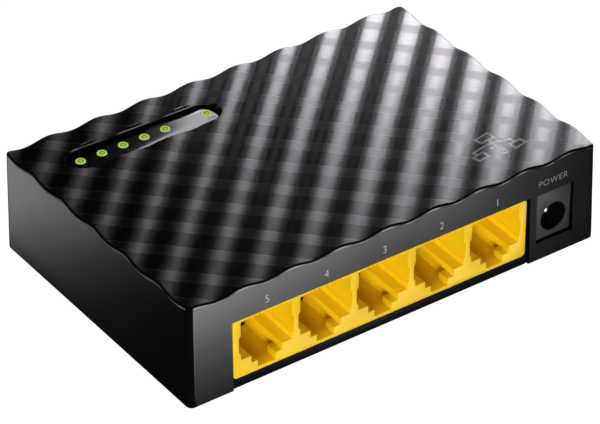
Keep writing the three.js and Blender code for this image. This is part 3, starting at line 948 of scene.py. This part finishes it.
base = {
    "thickness": 1.8 * mm,
    "corner": 0.6 * mm,
    "slotCount": 15,
    "slotPitch": 4 * mm,
    "slotWidth": 2.2 * mm,
    "slotLength": 16 * mm,
    "slotCentre": (0.0, 9 * mm),
    "footSeat": 4.15 * mm,
    "screwSeat": 2.25 * mm,
    "screwHole": 1.25 * mm,
}
screw = {
    "headHeight": 1.4 * mm,
    "shank": 0.95 * mm,
    "root": 0.78,             # thread root as a share of the shank
    "threadPitch": 0.7 * mm,
    "recessHalf": 0.26 * mm,
}
footNames = ["rubber_foot_" + str(i) for i in range(1, 5)]
caseScrewNames = ["case_screw_1", "case_screw_2"]
boardScrewNames = ["board_screw_1", "board_screw_2", "board_screw_3"]


def roundCutter(bm, centre, radius, low, high):
    made = bmesh.ops.create_cone(bm, cap_ends=True, segments=48, radius1=radius, radius2=radius,
                                 depth=high - low)
    bmesh.ops.translate(bm, vec=(centre.x, centre.y, (low + high) / 2), verts=made["verts"])


def makeBase():
    low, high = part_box("base_cover")
    blockLow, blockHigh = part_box("port_block")
    floor = shell["bottom"]
    top = floor + base["thickness"]
    front = -high.y
    bm = bmesh.new()
    addBox(bm, (low.x, front, floor), (high.x, high.y, top), base["corner"])
    bevelSharp(bm, 0.15 * mm)
    plate = toMesh(bm, "basePlate")
    lip = boxMesh("frontLip", (blockLow.x - 0.2 * mm, low.y, floor),
                  (blockHigh.x + 0.4 * mm, front + 1 * mm, blockLow.z - 0.15 * mm), 0.12 * mm)
    mesh = combine(plate, lip, "UNION")
    bm = bmesh.new()
    reach = (base["slotCount"] - 1) / 2
    for i in range(base["slotCount"]):
        x = base["slotCentre"][0] + base["slotPitch"] * (i - reach)
        levels = [(floor - 1 * mm, 0.8 * mm), (floor, 0.2 * mm), (floor + 0.2 * mm, 0), (top + 1 * mm, 0)]
        turned = addStadium(bm, (0, 0), base["slotLength"], base["slotWidth"], levels, 32)
        bmesh.ops.rotate(bm, cent=(0, 0, 0), matrix=Matrix.Rotation(math.pi / 2, 3, "Z"), verts=turned)
        bmesh.ops.translate(bm, vec=(x, base["slotCentre"][1], 0), verts=turned)
    for node in footNames:
        roundCutter(bm, centreOf(node), base["footSeat"], floor - 1 * mm, floor + 0.4 * mm)
    for node in caseScrewNames:
        roundCutter(bm, centreOf(node), base["screwSeat"], floor - 1 * mm, floor + 1.6 * mm)
    mesh = combine(mesh, toMesh(bm, "baseCutters"))
    bm = bmesh.new()
    for node in caseScrewNames:
        roundCutter(bm, centreOf(node), base["screwHole"], floor, floor + 5 * mm)
    mesh = combine(mesh, toMesh(bm, "screwHoles"))
    mesh.name = "baseCover"
    mesh.materials.clear()
    addPiece("baseCover", mesh, [baseBlack], slot="base_black", replaces=["base_cover"], smooth=30)


def makeFoot(node):
    low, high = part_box(node)
    centre = (low + high) / 2
    radius = (high.x - low.x) / 2
    profile = [(0, 0.1 * mm), (radius * 0.6, 0.06 * mm), (radius * 0.8, 0), (radius - 0.45 * mm, 0),
               (radius - 0.2 * mm, 0.07 * mm), (radius - 0.05 * mm, 0.25 * mm), (radius, 0.45 * mm),
               (radius, high.z), (0, high.z)]
    name = "rubberFoot_" + node[-1]
    addPiece(name, turnedMesh(name, profile, (centre.x, centre.y, 0), steps=56), [footRubber],
             slot="foot_rubber", replaces=[node], smooth=50)


def makeScrew(node, name):
    low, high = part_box(node)
    centre = (low + high) / 2
    head = (high.x - low.x) / 2
    headHeight = screw["headHeight"]
    shank = screw["shank"]
    root = shank * screw["root"]
    pitch = screw["threadPitch"]
    z = low.z
    profile = [(0, z), (head * 0.5, z), (head * 0.8, z + 0.18 * mm), (head * 0.95, z + 0.42 * mm),
               (head, z + 0.7 * mm), (head, z + headHeight), (shank, z + headHeight)]
    turns = int((high.z - 0.9 * mm - z - headHeight) / pitch)
    for i in range(turns):
        start = z + headHeight + pitch * i
        profile += [(root, start + 0.2 * mm), (root, start + 0.45 * mm), (shank, start + 0.68 * mm)]
    profile += [(0.1 * mm, high.z), (0, high.z)]
    mesh = turnedMesh(name, profile, (centre.x, centre.y, 0), steps=40)
    arm = head * 0.55
    half = screw["recessHalf"]
    bm = bmesh.new()
    addBox(bm, (-arm, -half, -1 * mm), (arm, half, headHeight * 0.6))
    arms = toMesh(bm, "recessArm")
    bm = bmesh.new()
    addBox(bm, (-half, -arm, -1 * mm), (half, arm, headHeight * 0.6))
    recess = combine(arms, toMesh(bm, "recessArmTwo"), "UNION")
    recess.transform(Matrix.Translation((centre.x, centre.y, z)))
    mesh = combine(mesh, recess)
    mesh.name = name
    mesh.materials.clear()
    addPiece(name, mesh, [screwZinc], slot="screw_steel", replaces=[node], smooth=35)


def makeLabel():
    low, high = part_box("rating_label")
    mesh = boxMesh("ratingLabel", low, high, 0.03 * mm, 1.5 * mm)
    addPiece("ratingLabel", mesh, [labelFilm], slot="label_silver", replaces=["rating_label"], smooth=30)


makeBase()
for footName in footNames:
    makeFoot(footName)
for screwName in caseScrewNames:
    makeScrew(screwName, "caseScrew_" + screwName[-1])
for screwName in boardScrewNames:
    makeScrew(screwName, "boardScrew_" + screwName[-1])
makeLabel()
print("underside ready")


# the circuit board

boardPieces = {
    # CAD node: piece name, material, slot, edge rounding in millimetres
    "circuit_board": ("circuitBoard", boardGreen, "board_green", 0.1),
    "switch_chip": ("switchChip", chipBlack, "chip_black", 0.08),
    "regulator_chip": ("regulatorChip", chipBlack, "chip_black", 0.06),
    "choke": ("choke", ferriteGrey, "ferrite_grey", 0.15),
    "crystal": ("crystal", brightNickel, "nickel", 0.2),
    "capacitor_1": ("capacitor_1", sleeveBlue, "sleeve_blue", 0),
    "capacitor_2": ("capacitor_2", sleeveBlue, "sleeve_blue", 0),
}
for port in "12345":
    boardPieces["line_transformer_" + port] = ("lineTransformer_" + port, chipBlack, "chip_black", 0.1)
for lightName in lightNames:
    boardPieces["led_" + lightName] = ("ledChip_" + lightName, ledBody, "led_white", 0.05)


def makeBoardPieces():
    for node, (name, material, slot, edge) in boardPieces.items():
        mesh = polishedCopy(name + "Part", node, edge * mm)
        mesh.materials.clear()
        addPiece(name + "Part", mesh, [material], slot=slot, replaces=[node], smooth=34)


makeBoardPieces()
print("board ready")


# floor, lights and camera

studio = {
    "floorSize": 6.0,
    "floorColor": (0.9, 0.9, 0.9),
    "floorShade": (0.88, 0.88, 0.88),
    "floorGlow": 0.9,
    "worldSeen": (1.0, 1.0, 1.0),
    "worldGlow": 0.005,
    "cameraPlace": (-316.75 * mm, -447.55 * mm, 385.8 * mm),
    "cameraHeading": -35.27,
    "cameraTilt": 34.55,
    "cameraRoll": -0.17,
    "cardTint": (0.97, 0.94, 1.0),
    "lens": 195.66,
    "sensor": 36.0,
}
softboxes = {
    # name: place and aim in metres, width, height, watts, what it lights
    "highStrip": ((0.218, 0.130, 0.130), (0, 0, 0), 0.134, 0.050, 0.33, "top"),
    "backSheet": ((0.294, 0.286, 0.196), (0, 0, 0), 0.226, 0.078, 0.156, "top"),
    "nearCard": ((0.081, 0.152, 0.058), (0, 0, 0), 0.094, 0.055, 0.010, "top"),
    "stripCard": ((0.055, 0.103, 0.091), (0, 0, 0), 0.030, 0.060, 0.031, "strip"),
    "frontGlow": ((0.088, -0.2145, -0.016), (0.130, 0, 0), 0.140, 0.196, 0.65, "walls"),
    "leftGlow": ((-0.369, 0.593, -0.378), (0, 0, 0), 0.138, 0.075, 0.064, "walls"),
    "leftRim": ((-0.58, 0.54, 0.05), (0, 0, 0), 0.30, 0.15, 0.40, "walls"),
    "frontRim": ((0.38, -0.69, 0.10), (0, 0, 0), 0.30, 0.15, 0.30, "walls"),
    "backGlow": ((0.18, 0.24, -0.13), (0.18, 0, 0), 0.3, 0.16, 0.22, "walls"),
    "rightGlow": ((0.28, 0.16, -0.13), (0, 0.16, 0), 0.3, 0.16, 0.22, "walls"),
    "frontLeftBox": ((-0.46, -0.80, 0.12), (0, 0, 0), 0.4, 0.4, 9.6, "matte"),
    "overheadBox": ((-0.1, -0.1, 1.3), (0, 0, 0), 1.2, 1.2, 3.0, "matte"),
}


def makeFloor():
    bm = bmesh.new()
    bmesh.ops.create_grid(bm, x_segments=1, y_segments=1, size=studio["floorSize"] / 2)
    floor = bpy.data.objects.new("floor", toMesh(bm, "floor"))
    scene.collection.objects.link(floor)
    material, tree, shader = startMaterial("floorPaper", studio["floorColor"], 0.7, Specular_IOR_Level=0.2,
                                           Emission_Color=(1, 1, 1, 1), Emission_Strength=studio["floorGlow"])
    paper = grainOf(tree, place(tree), 400, 3.0)
    mottled = blendColors(tree, paper, studio["floorColor"], studio["floorShade"])
    tree.links.new(mottled, shader.inputs["Base Color"])
    floor.data.materials.append(material)
    floor.visible_glossy = False       # the glow panels show in the walls instead
    floor.visible_diffuse = False
    floor.visible_shadow = False


def makeSoftbox(name, position, aim, width, height, watts, lit):
    lamp = bpy.data.lights.new(name, "AREA")
    lamp.shape = "RECTANGLE"
    lamp.size = width
    lamp.size_y = height
    lamp.energy = watts
    item = bpy.data.objects.new(name, lamp)
    item.location = position
    item.rotation_euler = (Vector(aim) - Vector(position)).to_track_quat("-Z", "Y").to_euler()
    item.visible_camera = False
    item.visible_diffuse = lit == "matte"
    item.visible_glossy = lit != "matte"
    if lit in ("top", "strip"):
        lamp.color = studio["cardTint"]
    if lit == "strip":      # a small card that only the floor of the light recess sees
        shown = bpy.data.collections.new("stripOnly")
        shown.objects.link(bpy.data.objects["legendStrip"])
        item.light_linking.receiver_collection = shown
    scene.collection.objects.link(item)


def makeWorld():
    world = bpy.data.worlds.new("studio")
    world.use_nodes = True
    scene.world = world
    tree = world.node_tree
    background = tree.nodes["Background"]
    path = tree.nodes.new("ShaderNodeLightPath")
    strength = spread(tree, path.outputs["Is Camera Ray"], studio["worldGlow"], 1.0, 0.0, 1.0)
    background.inputs["Color"].default_value = (*studio["worldSeen"], 1)
    tree.links.new(strength, background.inputs["Strength"])


def makeCamera():
    lens = bpy.data.cameras.new("camera")
    lens.lens = studio["lens"]
    lens.sensor_width = studio["sensor"]
    lens.clip_start = 0.01
    lens.clip_end = 20
    camera = bpy.data.objects.new("camera", lens)
    heading = Matrix.Rotation(math.radians(studio["cameraHeading"]), 4, "Z")
    tilt = Matrix.Rotation(math.radians(90 - studio["cameraTilt"]), 4, "X")
    roll = Matrix.Rotation(math.radians(studio["cameraRoll"]), 4, "Z")
    camera.matrix_world = Matrix.Translation(studio["cameraPlace"]) @ heading @ tilt @ roll
    scene.collection.objects.link(camera)
    scene.camera = camera


makeFloor()
for boxName, settings in softboxes.items():
    makeSoftbox(boxName, *settings)
makeWorld()
makeCamera()
scene.view_settings.view_transform = "Standard"
print("studio ready")
